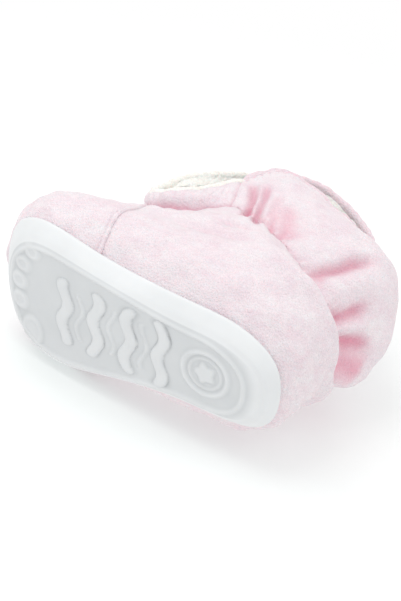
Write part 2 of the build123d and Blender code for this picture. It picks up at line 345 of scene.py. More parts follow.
def sink(path, depth, width, colour=0.0, share=0.25):
    """Sinks the skin by depth mm (a ridge if it is negative) within about width mm of a path of (u, v)
    points, fading over a share of its length at each end. colour is how much painted shade the fold's bottom
    takes, as a deeper pink."""
    path = np.asarray(path, float)
    at = np.linspace(0, 1, 60)
    stops = np.linspace(0, 1, len(path))
    line = lookup(skin, np.interp(at, stops, path[:, 0]), np.interp(at, stops, path[:, 1]))
    low, high = line.min(0) - 2.6 * width, line.max(0) + 2.6 * width
    near = ((skin > low) & (skin < high)).all(2)
    apart = np.linalg.norm(skin[near][:, None] - line[None], axis=2)
    along = at[apart.argmin(1)]
    ends = smooth(0, share, along) * smooth(0, share, 1 - along)
    bell = np.exp(-(apart.min(1) / width) ** 2) * ends
    field[near] -= depth * bell
    fold_shade[near] += colour * bell


# where elastic gathers the ankle: one groove right round, and short tucks of uneven size across it
sink([(u, ANKLE) for u in np.linspace(2.2, 11.0, 40)], 1.5, 1.9, 0.10, 0.04)
for u in np.arange(2.5, 10.9, 0.21):
    middle, lean, size = u + rng.normal(0, 0.035), rng.normal(0, 0.10), rng.uniform(0.35, 1.0)
    reach = 0.25 + 0.35 * size
    sink([(middle - lean, ANKLE - reach), (middle, ANKLE), (middle + lean, ANKLE + 0.7 * reach)],
         0.75 * size, 0.55 + 0.45 * size, 0.20 * size)

# folds that run from the throat's end down to the ankle, outer side and inner side
for side_of in (lambda u: u, lambda u: 12 - u):
    sink([(side_of(2.22), 8.6), (side_of(2.42), 7.6), (side_of(2.75), 6.5)], 2.4, 1.7, 0.75)
    sink([(side_of(2.60), 8.1), (side_of(2.82), 7.3), (side_of(3.20), 6.4)], 1.8, 1.6, 0.60)
    sink([(side_of(3.00), 7.8), (side_of(3.15), 7.3), (side_of(3.45), 6.8)], 0.9, 1.7, 0.30)
    sink([(side_of(2.45), 8.3), (side_of(2.62), 7.5), (side_of(2.95), 6.6)], -0.9, 1.2)
    sink([(side_of(3.25), 7.65), (side_of(3.50), 7.25), (side_of(3.75), 7.1)], 1.6, 4.0, 0.55)

# the collar's big folds, heel side: three on the outer side and their like on the inner side
sink([(4.18, 6.85), (4.36, 7.35), (4.60, 7.75), (5.00, 8.10)], 3.4, 2.3, 0.75, 0.30)
sink([(4.55, 7.10), (4.85, 7.50), (5.10, 7.80)], -1.6, 4.2)
sink([(4.95, 6.90), (5.25, 7.25), (5.60, 7.70)], 3.0, 2.5, 0.85, 0.30)
sink([(5.45, 7.05), (5.70, 7.35), (5.95, 7.60)], -1.3, 3.0)
sink([(5.65, 6.85), (5.95, 7.25), (6.40, 7.70)], 2.4, 2.6, 0.95, 0.25)
sink([(6.20, 7.05), (6.60, 7.40), (6.90, 7.75)], 0.3, 6.0, 0.90)
sink([(7.40, 6.90), (7.55, 7.40), (7.60, 8.10)], 2.4, 2.6, 0.60, 0.30)
sink([(8.30, 6.90), (8.35, 7.50), (8.20, 8.20)], 2.2, 2.8, 0.55, 0.30)
sink([(9.20, 6.90), (9.15, 7.50), (8.95, 8.20)], 1.8, 2.6, 0.50, 0.30)

# shallow pulls in the quarter below the throat band and beside the gathered ankle
sink([(2.30, 5.90), (2.75, 5.85), (3.20, 6.00), (3.60, 6.30)], 1.2, 1.9, 0.16)
sink([(2.20, 5.20), (2.70, 5.25), (3.30, 5.55), (3.80, 6.10)], -0.6, 2.6)
sink([(2.40, 4.40), (3.00, 4.75), (3.60, 5.40)], 0.8, 2.4, 0.08)
sink([(3.75, 5.80), (3.90, 6.40), (4.05, 6.90)], 1.1, 1.4, 0.18)
sink([(4.10, 5.70), (4.30, 6.30), (4.45, 6.90)], 0.9, 1.4, 0.14)

# the throat band bulges between its two edges, and bunches along its length
for side_of in (1, -1):
    sink([(side_of * u, ANKLE) for u in (0.0, 0.6, 1.2, 1.8, 2.15)], 1.3, 1.2, 0.35, 0.05)
    sink([(side_of * u, BELLY) for u in (0.0, 0.6, 1.2, 1.8)], -1.5, 3.0)
    for u in np.arange(0.25, 2.0, 0.16):
        lean = rng.normal(0, 0.03)
        sink([(side_of * (u - lean), 7.1), (side_of * (u + lean), 8.7)], rng.uniform(0.10, 0.45), 0.55, 0.10)

# stuffing is never quite even: three slow waves of the place on the skin, under half a millimetre each, and
# none of it where the rubber holds the cloth
x, y, z = skin[..., 0], skin[..., 1], skin[..., 2]
field += 0.30 * np.sin(0.31 * x + 0.23 * y + 0.12 * z) + 0.24 * np.sin(0.17 * x - 0.33 * y + 0.38 * z + 1.0)
field += 0.16 * np.sin(0.66 * y + 0.41 * z + 0.5 * x + 2.0)
firm = smooth(1.0, 2.0, np.linspace(0, RIM, UP))[:, None]
field *= firm
print("field from", field.min().round(2), "to", field.max().round(2), "mm")

# %% The seam between toe cap and quarter
SEAM_FOOT, SEAM_TOP = np.array((-16.0, 7.0)), np.array((-23.5, 57.0))  # y and z, mm


def seam_turn(v, outer):
    """The u at which the seam crosses height v: where the skin, seen from the side, meets the straight line
    from the sole to the throat. Found on a fine row of u, by the last change of sign from the toe."""
    along = SEAM_TOP - SEAM_FOOT
    u = np.linspace(0.02, 5, 700) if outer else np.linspace(11.98, 7, 700)
    place = lookup(skin, u, np.full_like(u, v))
    off = (place[:, 1] - SEAM_FOOT[0]) * along[1] - (place[:, 2] - SEAM_FOOT[1]) * along[0]
    crossed = np.nonzero(off > 0)[0]
    return u[crossed[0]] if len(crossed) else u[0]


seam_v = np.linspace(0.6, 6.96, 90)
seam_u = [np.array([seam_turn(v, outer) for v in seam_v]) for outer in (True, False)]
seam_u[0] = np.maximum(seam_u[0], 0.16)
seam_u[1] = np.minimum(seam_u[1], 11.84) - 12
for u_line in seam_u:
    sink(np.c_[u_line, seam_v], 0.45, 1.6, 0.0, 0.03)
print("seam leaves the sole at u", seam_u[0][0].round(2), "and", seam_u[1][0].round(2))

# %% Cloth pieces
EDGE_ROLL = 0.9  # mm from an edge within which plush turns down


def cloth_shell(name, u, v, out, thickness, material, wrap=False, roll=(0, 0, 0, 0)):
    """A sheet over the skin whose outer face stands at height out, closed round its edges. roll says, for its
    bottom, top, left and right edges, how many millimetres the face turns down there, as a cut edge of plush
    does when it is sewn in."""
    rows, cols = u.shape
    lift = lookup(field[..., None], u, v)[..., 0]
    base = on_skin(u, v, lift)
    tall = np.r_[np.zeros((1, cols)), np.cumsum(np.linalg.norm(np.diff(base, axis=0), axis=2), 0)]
    wide = np.c_[np.zeros(rows), np.cumsum(np.linalg.norm(np.diff(base, axis=1), axis=2), 1)]
    from_edges = (tall, tall[-1] - tall, wide, wide[:, -1:] - wide)
    drop = sum(r * np.exp(-(d / EDGE_ROLL) ** 1.5) for r, d in zip(roll, from_edges) if r)
    front, rear = on_skin(u, v, lift + out - drop), on_skin(u, v, lift + out - thickness - 0.3 * drop)
    count = rows * cols
    faces = [grid_faces(rows, cols, wrap), grid_faces(rows, cols, wrap, count)[:, ::-1]]
    bottom, top = np.arange(cols), np.arange(cols) + (rows - 1) * cols
    left, right_line = np.arange(rows) * cols, np.arange(rows) * cols + cols - 1
    for line, flip in ((bottom, True), (top, False)) + (() if wrap else ((left, False), (right_line, True))):
        a, b = line, np.roll(line, -1)
        if not (wrap and len(line) == cols):
            a, b = a[:-1], b[:-1]
        strip = np.stack([a, b, b + count, a + count], -1)
        faces.append(strip[:, ::-1] if flip else strip)
    piece = add_mesh(name, np.concatenate([front.reshape(-1, 3), rear.reshape(-1, 3)]),
                     np.concatenate(faces), material)
    # painted shade: the folds' deeper pink, and more where a cut edge turns down
    pink = np.clip(lookup(fold_shade[..., None], u, v)[..., 0] + 0.5 * drop, 0, 1.2)
    set_colour(piece, "fold", np.r_[pink.ravel(), pink.ravel()])
    spans = np.cross(front[1:, :-1] - front[:-1, :-1], front[:-1, 1:] - front[:-1, :-1])
    area = np.linalg.norm(spans, axis=2).sum() * MM * MM
    return piece, area


def on_cloth(u, v, out):
    """Points at (u, v), standing `out` millimetres off the folded cloth. v may be one number for all of u."""
    v = np.broadcast_to(np.asarray(v, float), u.shape)
    return on_skin(u, v, lookup(field[..., None], u, v)[..., 0] + out)


def tube(centre, radius, across, first=(0.3, 0.2, 1.0)):
    """A round roll along a line of points, with a radius for each of them. first is a direction that the line
    never takes, and turns the rings alike."""
    ahead = np.gradient(centre, axis=0)
    ahead /= np.linalg.norm(ahead, axis=1, keepdims=True)
    sideways = np.cross(ahead, np.array(first))
    sideways /= np.linalg.norm(sideways, axis=1, keepdims=True)
    third = np.cross(ahead, sideways)
    angle = np.arange(across) * 2 * math.pi / across
    ring = (centre[:, None] + radius[:, None, None] * (np.cos(angle)[None, :, None] * sideways[:, None]
            + np.sin(angle)[None, :, None] * third[:, None]))
    return ring.reshape(-1, 3), grid_faces(len(centre), across, True)


def joined(name, parts, material):
    """One object from several (points, faces) pairs."""
    points, faces, count = [], [], 0
    for p, f in parts:
        points.append(p)
        faces.append(f + count)
        count += len(p)
    return add_mesh(name, np.concatenate(points), np.concatenate(faces), material)


def stitches(u, v, out, length, gap, radius):
    """Thread laid along a line on the skin: a short capsule for each stitch, its ends dipping into the
    cloth."""
    line = on_cloth(u, v, out)
    run = np.r_[0, np.cumsum(np.linalg.norm(np.diff(line, axis=0), axis=1))]
    normal = lookup(skin_normal, u, v)
    parts = []
    for start in np.arange(0, run[-1] - length, length + gap):
        at = start + length * np.array([0, 0.1, 0.3, 0.5, 0.7, 0.9, 1.0])
        dip = radius * np.array([-1.6, -0.5, 0.3, 0.5, 0.3, -0.5, -1.6])
        place = np.stack([np.interp(at, run, line[:, k]) for k in range(3)], -1)
        facing = np.stack([np.interp(at, run, normal[:, k]) for k in range(3)], -1)
        size = radius * np.array([0.35, 0.85, 1, 1, 1, 0.85, 0.35])
        parts.append(tube(place + facing * dip[:, None], size, 8, facing[3]))
    return parts


# %% [markdown]
# ## Finishes
# Velour is a knitted cloth with a cut pile about a millimetre long. Pile that leans towards the light looks
# nearly white and pile that leans away looks pinker, so hand marks show as soft blotches; deep in a fold the
# light bounces from pink to pink and the colour strengthens. Brushed fleece lining is creamier and curlier.
# The rubber is a white compound with a fine grain from the sand-blasted mould; its tone is painted greyer on
# the sunk tread and in hollows as shade, and lighter on raised tops and up the wall as light.

# %% Cloth materials
def pile_cloth(name, light, mid, deep, pile=0.45, height=0.35, curl=0.25):
    """Cut or brushed pile: two scales of colour, a strong sheen, and bump from tufts of a size in mm. `deep`
    is the painted shade colour that the fold attribute brings into folds and turned-down edges."""
    material, tree, surface, place = new_material(name)
    blotch = node(tree, "TexNoise", [("Vector", place)], in_Scale=1 / (9 * MM), in_Detail=3.0,
                  in_Distortion=0.6)
    streak_place = node(tree, "Mapping", [("Vector", place)], in_Scale=(1.0, 0.35, 0.8))
    streak = node(tree, "TexNoise", [("Vector", streak_place.outputs[0])], in_Scale=1 / (2.2 * MM),
                  in_Detail=4.0, in_Roughness=0.62)
    tuft = node(tree, "TexNoise", [("Vector", place)], in_Scale=1 / (pile * MM), in_Detail=2.0,
                in_Distortion=curl)
    clump = node(tree, "TexVoronoi", [("Vector", place)], in_Scale=1 / (1.7 * pile * MM), in_Randomness=1.0)
    share = node(tree, "Math", [(0, blotch.outputs[0]), (1, streak.outputs[0])], operation="ADD")
    sharper = node(tree, "MapRange", [("Value", share.outputs[0])], in_From_Min=0.70, in_From_Max=1.35)
    even = node(tree, "Mix", [("Factor", sharper.outputs[0])], data_type="RGBA", in_6=hue(light),
                in_7=hue(mid))
    speck = node(tree, "MapRange", [("Value", tuft.outputs[0])], in_From_Min=0.3, in_From_Max=0.75,
                 in_To_Min=0.90, in_To_Max=1.05)
    flecked = node(tree, "HueSaturation", [("Value", speck.outputs[0]), ("Color", even.outputs[2])])
    # the fold attribute is painted shade, mixing the colour towards deep
    fold = node(tree, "Attribute", attribute_name="fold")
    faint = node(tree, "Math", [(0, sharper.outputs[0])], operation="MULTIPLY", in_1=0.06)
    stray = node(tree, "Math", [(0, fold.outputs["Fac"]), (2, faint.outputs[0])], operation="MULTIPLY_ADD",
                 in_1=0.85)
    clipped = node(tree, "Clamp", [("Value", stray.outputs[0])])
    fold_shaded = node(tree, "Mix", [("Factor", clipped.outputs[0]), (6, flecked.outputs[0])], data_type="RGBA",
                  in_7=hue(deep))
    rough = node(tree, "MapRange", [("Value", streak.outputs[0])], in_To_Min=0.82, in_To_Max=1.0)
    tall = node(tree, "Math", [(0, tuft.outputs[0]), (1, clump.outputs[0])], operation="SUBTRACT")
    soft = node(tree, "Math", [(0, streak.outputs[0]), (2, tall.outputs[0])], operation="MULTIPLY_ADD",
                in_1=1.3)
    bumped = node(tree, "Bump", [("Height", soft.outputs[0])], in_Strength=0.75, in_Distance=height * MM)
    dress(tree, surface, Base_Color=fold_shaded.outputs[2], Roughness=rough.outputs[0], Normal=bumped.outputs[0],
          Sheen_Weight=0.55, Sheen_Roughness=0.45, Sheen_Tint=hue("#FFF4F6"), Specular_IOR_Level=0.15,
          Subsurface_Weight=0.18, Subsurface_Radius=(1.0, 0.5, 0.45), Subsurface_Scale=1.2 * MM)
    return material


# each cloth's last colour is the painted shade in its folds
velour = pile_cloth("pink velour", "#EFE8EB", "#EADBE2", "#E39DB0")
fleece = pile_cloth("cream fleece", "#FEFDF9", "#F6F4EC", "#E4DED2", pile=0.8, height=0.5, curl=0.9)


def wadding_material():
    """Polyester wadding: white, fibrous, and seen by nobody unless a seam is opened."""
    material, tree, surface, place = new_material("polyester wadding")
    fibre = node(tree, "TexNoise", [("Vector", place)], in_Scale=1 / (1.5 * MM), in_Detail=6.0,
                 in_Distortion=2.0)
    tone = node(tree, "Mix", [("Factor", fibre.outputs[0])], data_type="RGBA", in_6=hue("#F4F4F1"),
                in_7=hue("#DEDDD8"))
    bumped = node(tree, "Bump", [("Height", fibre.outputs[0])], in_Strength=0.6, in_Distance=0.6 * MM)
    dress(tree, surface, Base_Color=tone.outputs[2], Roughness=0.95, Normal=bumped.outputs[0])
    return material


def woven_material(name, warp_colour, weft_colour, pitch, rough=0.8, depth=0.12):
    """A flat weave: two crossed waves of one pitch in mm, one for each thread direction. The higher wins."""
    material, tree, surface, place = new_material(name)
    waves = [node(tree, "TexWave", [("Vector", place)], wave_type="BANDS", bands_direction=way,
                  in_Scale=0.314 / (pitch * MM), in_Distortion=0.4, in_Detail=1.0) for way in ("Y", "Z")]
    over = node(tree, "Math", [(0, waves[0].outputs[1]), (1, waves[1].outputs[1])], operation="MAXIMUM")
    which = node(tree, "Math", [(0, waves[0].outputs[1]), (1, waves[1].outputs[1])], operation="GREATER_THAN")
    tone = node(tree, "Mix", [("Factor", which.outputs[0])], data_type="RGBA", in_6=hue(warp_colour),
                in_7=hue(weft_colour))
    bumped = node(tree, "Bump", [("Height", over.outputs[0])], in_Strength=0.7, in_Distance=depth * MM)
    dress(tree, surface, Base_Color=tone.outputs[2], Roughness=rough, Normal=bumped.outputs[0])
    return material


wadding = wadding_material()
elastic = woven_material("elastic web", "#F2EFEA", "#E2DDD6", 0.8)
stiffener = woven_material("impregnated canvas stiffener", "#E9E3D4", "#D8D0BD", 0.6)
board = woven_material("fibre board", "#CDBB9C", "#BFAA88", 0.4, depth=0.05)
thread = woven_material("pale pink sewing thread", "#F3DDE3", "#E9C9D3", 0.28, rough=0.55, depth=0.06)


# %% Rubber and foam
def rubber_material():
    """Moulded white rubber. A number worked out from the relief is stored on each point and paints light and
    shade: raised tops and the wall lighter, the sunk ground and its hollows greyer. A fine grain stands for
    the blasted mould."""
    material, tree, surface, place = new_material("moulded white rubber")
    cloud = node(tree, "TexNoise", [("Vector", place)], in_Scale=1 / (14 * MM), in_Detail=3.0)
    grain = node(tree, "TexNoise", [("Vector", place)], in_Scale=1 / (0.35 * MM), in_Detail=2.0)
    # the stored number is painted light and shade, and a random cloud is added to it
    painted_light = node(tree, "Attribute", attribute_name="raised")
    level = node(tree, "Math", [(0, cloud.outputs[0]), (2, painted_light.outputs["Fac"])], operation="MULTIPLY_ADD",
                 in_1=0.35)
    share = node(tree, "Clamp", [("Value", level.outputs[0])])
    tone = node(tree, "Mix", [("Factor", share.outputs[0])], data_type="RGBA", in_6=hue("#BDC1C3"),
                in_7=hue("#E9EBEC"))
    rough = node(tree, "MapRange", [("Value", cloud.outputs[0])], in_From_Min=0.35, in_From_Max=0.65,
                 in_To_Min=0.34, in_To_Max=0.48)
    bumped = node(tree, "Bump", [("Height", grain.outputs[0])], in_Strength=0.25, in_Distance=0.05 * MM)
    dress(tree, surface, Base_Color=tone.outputs[2], Roughness=rough.outputs[0], Normal=bumped.outputs[0],
          Specular_IOR_Level=0.45, Subsurface_Weight=0.12, Subsurface_Radius=(1.0, 0.9, 0.8),
          Subsurface_Scale=1.5 * MM)
    return material


def foam_material():
    """Closed-cell foam: cream, with cells a third of a millimetre across."""
    material, tree, surface, place = new_material("closed-cell foam")
    cells = node(tree, "TexVoronoi", [("Vector", place)], in_Scale=1 / (0.35 * MM))
    tone = node(tree, "MapRange", [("Value", cells.outputs[0])], in_To_Min=0.86, in_To_Max=0.78)
    cream = node(tree, "CombineColor", [(0, tone.outputs[0]), (1, tone.outputs[0])], in_2=0.70)
    bumped = node(tree, "Bump", [("Height", cells.outputs[0])], in_Strength=0.5, in_Distance=0.1 * MM)
    dress(tree, surface, Base_Color=cream.outputs[0], Roughness=0.8, Normal=bumped.outputs[0])
    return material


rubber, foam = rubber_material(), foam_material()
print("materials", sorted(m.name for m in bpy.data.materials))

# %% [markdown]
# ## The rubber sole
# A cup sole is one moulding: a tread, a wall that flares out to a rounded lip, and a bed inside. One polar
# grid runs from the middle of the tread out to its edge, up the wall, over the lip, down inside and back
# along the bed, and every raised shape of the tread is a height added to that grid.


# %% Tread pattern
# in millimetres: the bars' pitch and half length, the middle of the heel mark, and each toe print's middle
# and half sizes
BAR_PITCH, BAR_HALF = 13.0, 11.2
HEEL_MARK = (1.0, 32.0)
TOE_PRINTS = ((-15.0, -39.0, 6.6, 5.0), (-4.6, -45.0, 3.4, 3.7), (3.4, -45.6, 3.2, 3.6),
              (11.0, -43.9, 3.0, 3.5), (17.8, -39.6, 2.8, 3.4))


def raised(distance, edge):
    """1 inside a shape and 0 outside, through a rounded shoulder about twice edge wide."""
    return 1 - smooth(-edge, edge, distance)


def tread_pattern(x, y, inside):
    """Relief in mm: the bead, four wavy bars with thin ones between, a star in a ring under the heel, and
    five toe prints. `inside` is the distance in from the bead's line, and is less than nothing outside."""
    height = 0.75 * np.exp(-(inside / 0.95) ** 2)
    for bar in range(4):
        middle = BAR_PITCH * (bar - 2) + 1.5
        wave = 1.3 * np.sin((x + 9 * bar) * 2 * np.pi / 15)
        reach = np.clip(np.abs(x - 0.5) - BAR_HALF, 0, None)
        stroke = np.hypot(np.clip(np.abs(y - middle - wave) - 0.2, 0, None), reach)
        height = np.maximum(height, 0.9 * np.sqrt(np.clip(1 - (stroke / 2.3) ** 2, 0, 1)) ** 0.8)
        thin = np.hypot(y - middle - 6.3 - wave, np.clip(np.abs(x - 0.5) - 8.5, 0, None))
        if bar < 3:
            height = np.maximum(height, 0.5 * np.exp(-(thin / 0.8) ** 2))
    across, along = x - HEEL_MARK[0], y - HEEL_MARK[1]
    ring = np.hypot(across / 9.2, along / 9.6)
    height = np.maximum(height, 0.85 * np.exp(-((ring - 0.90) / 0.10) ** 2))
    height = np.maximum(height, 0.45 * np.exp(-((ring - 0.64) / 0.06) ** 2))
    pad = np.hypot(across, along) * (1 + 0.13 * np.cos(5 * np.arctan2(across, along))) - 3.5
    height = np.maximum(height, 0.75 * raised(pad, 0.7))
    for cx, cy, a, b in TOE_PRINTS:
        toe = np.hypot((x - cx) / a, (y - cy) / b)
        print_top = 0.45 * raised((toe - 0.8) * a, 0.6) + 0.5 * np.exp(-((toe - 0.86) * a / 0.9) ** 2)
        height = np.maximum(height, print_top)
    return height


# %% Outsole mesh
SPOKES, RINGS = 440, 122
GROUND, BED = 0.9, SOLE["floor"]  # how high the tread's sunk ground and the bed lie, mm
spoke = np.arange(SPOKES) * 16 / SPOKES
edge = closed_spline(tread_loop(-1.2), spoke)
middle = np.array((1.0, SOLE["middle"]))
share = (np.arange(1, RINGS + 1) / RINGS)[:, None, None]
flat = middle + share * (edge - middle)
bead_line = closed_spline(tread_loop(-2.6), np.arange(600) * 16 / 600)
bead_line[:, 1] -= 4.0 * smooth(15, 50, bead_line[:, 1])  # the bead keeps well in from the heel's edge
tangent = np.roll(bead_line, -1, 0) - np.roll(bead_line, 1, 0)
outward = np.stack([-tangent[:, 1], tangent[:, 0]], -1)
outward *= np.sign(((bead_line - middle) * outward).sum())
outward /= np.linalg.norm(outward, axis=1, keepdims=True)
inside = np.empty(flat.shape[:2])
for i in range(RINGS):
    gap = flat[i][:, None] - bead_line[None]
    nearest = (gap ** 2).sum(2).argmin(1)
    inside[i] = -(gap[np.arange(SPOKES), nearest] * outward[nearest]).sum(1)
height = tread_pattern(flat[..., 0], flat[..., 1], inside)
shoulder = 1.1 * smooth(0, 7.5, -inside) ** 1.3  # outside the bead the tread rounds up to the wall
tread = np.concatenate([flat, (rise(flat[..., 1]) + GROUND - height + shoulder)[..., None]], -1)

# the wall's section: how far out from the tread's edge, and how high
profile = [(-0.9, 0.30), (-0.55, 0.62), (-0.2, 1.05), (0.2, 1.6), (0.75, 2.4), (1.45, 3.3), (2.2, 4.2),
           (2.95, 5.1), (3.5, 5.8), (3.85, 6.4), (3.95, 6.8), (3.8, 7.15), (3.45, 7.4), (3.0, 7.45),
           (2.6, 7.3), (2.3, 7.0), (2.1, 6.6), (1.7, 5.8), (1.1, 4.8), (0.6, 4.0), (0.2, 3.5), (-0.4, 3.25),
           (-1.5, BED)]
edge_lift = tread[-1, :, 2] - rise(edge[:, 1])
wall = []
for outset, up in profile:
    loop = closed_spline(tread_loop(outset), spoke)
    wall.append(np.c_[loop, rise(loop[:, 1]) + up + edge_lift * smooth(3.0, 0.2, np.full(SPOKES, up))])
bed_edge = closed_spline(tread_loop(-1.5), spoke)
bed = [np.c_[middle + s * (bed_edge - middle), rise((middle + s * (bed_edge - middle))[:, 1]) + BED]
       for s in (0.9, 0.7, 0.45, 0.2)]
rows = np.concatenate([tread, np.stack(wall), np.stack(bed)])
count = rows.shape[0]
poles = np.array([(*middle, rise(middle[1]) + GROUND), (*middle, rise(middle[1]) + BED)])
points = np.concatenate([rows.reshape(-1, 3), poles])
corner = np.concatenate([halves(grid_faces(count, SPOKES, True)), fan(0, SPOKES, count * SPOKES, True),
                         fan(count - 1, SPOKES, count * SPOKES + 1, False)])
outsole = add_mesh("rubber_outsole", points, corner, rubber)

# painted shade: a hollow lower than what is round it gets less light, so it is painted darker
around_it = np.mean([np.roll(np.pad(height, ((4, 4), (0, 0)), "edge"), shift, 1)[4 + up:4 + up + RINGS]
                     for shift in (-3, -1, 1, 3) for up in (-2, -1, 1, 2)], axis=0)
hollow = np.clip(around_it - height, 0, 0.35) / 0.35
# painted light and shade on the rubber: the sunk ground greyest, raised tops and the tread towards the wall
# lighter, the wall and bed lighter still, and hollows darker
whiteness = np.full(len(points), 0.62)
whiteness[:RINGS * SPOKES] = (0.30 + 0.25 * height + 0.35 * smooth(1.0, 5.0, -inside)
                              - 0.30 * hollow).ravel()
set_colour(outsole, "raised", whiteness)
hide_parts("outsole")
print("outsole", len(corner), "triangles")


# %% What lies in the sole
def insert(name, node_name, material, low, high, outset, crown=0.0):
    """A slab of the sole's plan between two heights, its top edge rounded, its top dished by crown."""
    cols = 160
    loop = closed_spline(tread_loop(outset), np.arange(cols) * 16 / cols)
    bottom, top = [(s, low) for s in (0.05, 0.5, 0.99)], [(s, high) for s in (0.9, 0.7, 0.4, 0.1)]
    sides = [(1.0, low + 0.3), (1.0, high - 0.5), (0.992, high - 0.12), (0.975, high)]
    rings = []
    for s, z in bottom + sides + top:
        flat_ring = middle + s * (loop - middle)
        up = rise(flat_ring[:, 1]) + z - (crown * (1 - s ** 2) if z == high else 0)
        rings.append(np.c_[flat_ring, up])
    grid, count = np.stack(rings), len(rings)
    points = np.concatenate([grid.reshape(-1, 3), grid[[0, -1]].mean(1)])
    tris = np.concatenate([halves(grid_faces(count, cols, True)), fan(0, cols, count * cols, True),
                           fan(count - 1, cols, count * cols + 1, False)])
    piece = add_mesh(name, points, tris, material)
    set_colour(piece, "fold", np.zeros(len(points)))
    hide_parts(node_name)
    return piece


# low and high are heights in mm, and the crown is how deep the foot has dished the top
insert("lasting_board", "insole_board", board, 3.25, 4.4, -0.9)
insert("foam_midsole", "midsole_foam", foam, 4.45, 7.4, -2.4)
insert("fleece_insock", "insock", fleece, 7.45, 10.0, -2.8, 0.9)

# %% [markdown]
# ## The upper, piece by piece
# Everything is cut from the same skin. The toe cap lies between the two seams, the quarter goes round the
# heel from seam to seam, the collar stands on the gathered ankle, and the throat band closes the front. Under
# the plush come wadding or a stiffener, then the fleece lining.

# %% Grids of (u, v)
CLOTH = dict(plush=1.2, wadding=1.9, lining=1.2, gap=0.05)
COLLAR_TOP = 8.98  # just under the rim, where the hem covers the cut edge


def seam_at(v, side_of, margin=0.0):
    """The seam's u at height v on the outer (0) or the inner (1) side."""
    return np.interp(v, seam_v, seam_u[side_of]) + margin


def patch(rows, cols, v_low, v_high, left, right):
    """Grids of u and v from v_low to v_high, each row from left(v) to right(v). Rows crowd at both ends."""
    t = np.linspace(0, 1, rows)
    t = t - 0.08 * np.sin(2 * np.pi * t)
    v = v_low + (v_high - v_low) * t
    s = np.linspace(0, 1, cols)
    s = s - 0.05 * np.sin(2 * np.pi * s)
    u = left(v)[:, None] + s[None] * (right(v) - left(v))[:, None]
    return u, np.broadcast_to(v[:, None], u.shape).copy()


def steady(value):
    return lambda v: np.full_like(v, value)


# where the pieces begin and end, as a left and a right u; the collar and the throat band lap by a little
cap = (lambda v: seam_at(v, 1, 0.02), lambda v: seam_at(v, 0, -0.02))
round_heel = (lambda v: seam_at(v, 0, 0.02), lambda v: 12 + seam_at(v, 1, -0.02))
outer_side = (lambda v: seam_at(v, 0, 0.05), steady(4.0))
heel_cup = (steady(4.05), steady(7.95))
inner_side = (steady(8.0), lambda v: 12 + seam_at(v, 1, -0.05))
front_band, shaft = (steady(-2.03), steady(2.03)), (steady(1.97), steady(10.03))

# each cloth's outer face off the skin and its thickness, both in mm, then its material and slot
under = -CLOTH["plush"] - CLOTH["gap"]
deep = under - CLOTH["wadding"] - CLOTH["gap"]
PLUSH = (0, CLOTH["plush"], velour, "pink_velour")
BAND = (0.55, 1.1, velour, "pink_velour")
PADDING = (under, CLOTH["wadding"], wadding, "polyester_wadding")
STIFF = (under, CLOTH["wadding"], stiffener, "stiffener")
WEB = (under, CLOTH["wadding"] - 0.8, elastic, "elastic_web")
LINING = (deep, CLOTH["lining"], fleece, "cream_fleece")


def layered(name, node_name, region, rows, cols, v_low, v_high, cloth, roll=(0, 0, 0, 0)):
    """A sheet of one cloth over a patch of the skin, in place of a part that is hidden; its area and faces
    are printed.
    """
    out, thick, material, slot = cloth
    u, v = patch(rows, cols, v_low, v_high, *region)
    piece, area = cloth_shell(name, u, v, np.full_like(u, out), thick, material, roll=roll)
    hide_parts(node_name)
    print(f"{name:24s} {area * 1e4:6.1f} cm2, {len(piece.data.polygons)} faces")


# %% Layers, from the outside in
layered("toe_cap", "vamp_outer", cap, 150, 260, 0.55, 6.93, PLUSH, (0, 0.5, 0.15, 0.15))
layered("quarter", "quarter_outer", round_heel, 132, 360, 0.55, ANKLE, PLUSH, (0, 0.35, 0.15, 0.15))
layered("collar", "collar_outer", shaft, 132, 360, ANKLE, COLLAR_TOP, PLUSH, (0.35, 0.2, 0.6, 0.6))
layered("throat_band_cover", "throat_band", front_band, 90, 260, 6.98, COLLAR_TOP, BAND, (1.0, 0.5, 0.9, 0.9))
layered("toe_cap_wadding", "vamp_wadding", cap, 40, 80, 3.9, 6.5, PADDING)
layered("toe_puff_shell", "toe_puff", cap, 40, 90, 0.7, 3.85, STIFF)
layered("quarter_front_wadding", "quarter_wadding", outer_side, 50, 60, 0.7, 6.7, PADDING)
layered("heel_stiffener", "heel_counter", heel_cup, 40, 90, 0.7, 4.6, STIFF)
layered("quarter_back_wadding", "quarter_wadding", heel_cup, 24, 90, 4.65, 6.7, PADDING)
layered("quarter_inner_wadding", "quarter_wadding", inner_side, 50, 60, 0.7, 6.7, PADDING)
layered("collar_wadding_pad", "collar_wadding", shaft, 50, 150, 7.2, 8.8, PADDING)
layered("ankle_elastic_web", "ankle_elastic", shaft, 10, 180, 6.75, 7.15, WEB)
layered("throat_elastic_web", "throat_elastic", front_band, 24, 90, 7.1, 8.8, WEB)
layered("toe_cap_lining", "vamp_lining", cap, 90, 150, 1.1, 6.93, LINING)
layered("quarter_lining_fleece", "quarter_lining", round_heel, 90, 260, 1.1, ANKLE, LINING)


def shaft_lining():
    """The lining of collar and throat is one ring; towards the rim the layers under it end, and it comes up
    to the back of the plush, where the hem folds over both."""
    rows, cols = 110, 380
    u, v = patch(rows, cols, ANKLE, 8.95, steady(0.0), steady(12 * (cols - 1) / cols))
    out = deep + (-deep - CLOTH["plush"] - 0.1) * smooth(8.35, 8.95, v)
    piece, area = cloth_shell("collar_fleece_lining", u, v, out, CLOTH["lining"], fleece, wrap=True)
    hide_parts("collar_lining")


shaft_lining()

# %% Hem, welt and threads
def rolled(name, node_name, parts, material, fold):
    """A padded roll of cloth, one colour all over; fold is how much of the folds' painted shade, a deeper
    pink, it takes all over.
    """
    piece = joined(name, parts, material)
    set_colour(piece, "fold", np.full(len(piece.data.vertices), fold))
    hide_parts(node_name)


